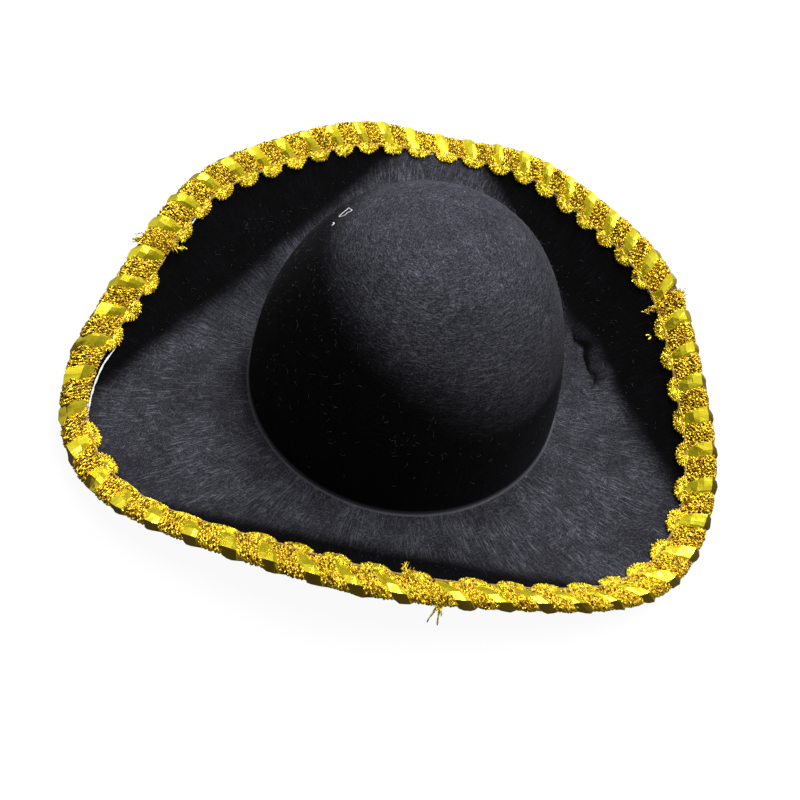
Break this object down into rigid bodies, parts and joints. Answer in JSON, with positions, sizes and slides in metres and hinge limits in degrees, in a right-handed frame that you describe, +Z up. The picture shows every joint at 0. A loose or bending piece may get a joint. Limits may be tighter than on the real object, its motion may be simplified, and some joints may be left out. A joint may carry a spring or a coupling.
{
  "type": "pirate hat",
  "caption": "Felt tricorn costume hat: round bowl crown, brim with turned-up sides and low corners, gold scalloped gimp trim folded over the edge.",
  "frame": {"origin": "middle of the hat's footprint, in the plane that the hat rests on, which is the under face of the brim around the head opening", "axes": "+Z up through the crown, +Y to the front corner of the brim, -Y to the middle of the back side, +X to the wearer's right"},
  "size_m": [0.3804, 0.3824, 0.1405],
  "materials": {
    "felt": "brushed black felt with a short nap",
    "stiffener": "resin-stiffened black non-woven",
    "gold_yarn": "glittering metallic gimp yarn",
    "gold_foil": "gold metallised film, mirror bright",
    "beige_thread": "matt thread",
    "glue": "dried white glue, satin",
    "ribbon": "black grosgrain",
    "black_thread": "matt black thread",
    "label_cloth": "white woven tape, unprinted"
  },
  "bodies": {
    "hat": {"felt_cover": "felt", "stiffener_shell": "stiffener", "braid_right": "gold_yarn", "foil_right": "gold_foil", "glue_right": "glue", "scallops_inner_right": "gold_yarn", "stitch_inner_right": "beige_thread", "scallops_outer_right": "gold_yarn", "stitch_outer_right": "beige_thread", "braid_left": "gold_yarn", "foil_left": "gold_foil", "glue_left": "glue", "scallops_inner_left": "gold_yarn", "stitch_inner_left": "beige_thread", "scallops_outer_left": "gold_yarn", "stitch_outer_left": "beige_thread", "braid_front": "gold_yarn", "foil_front": "gold_foil", "glue_front": "glue", "scallops_inner_front": "gold_yarn", "stitch_inner_front": "beige_thread", "scallops_outer_front": "gold_yarn", "stitch_outer_front": "beige_thread", "sweatband": "ribbon", "sweatband_thread": "black_thread", "label_thread": "black_thread"},
    "label": {"care_label": "label_cloth"}
  },
  "joints": [
    {"name": "label_flap", "type": "hinge", "parent": "hat", "child": "label", "pos_m": [0, -0.1072, 0.038], "axis": [-1, 0, 0], "range_deg": [0, 150]}
  ]
}
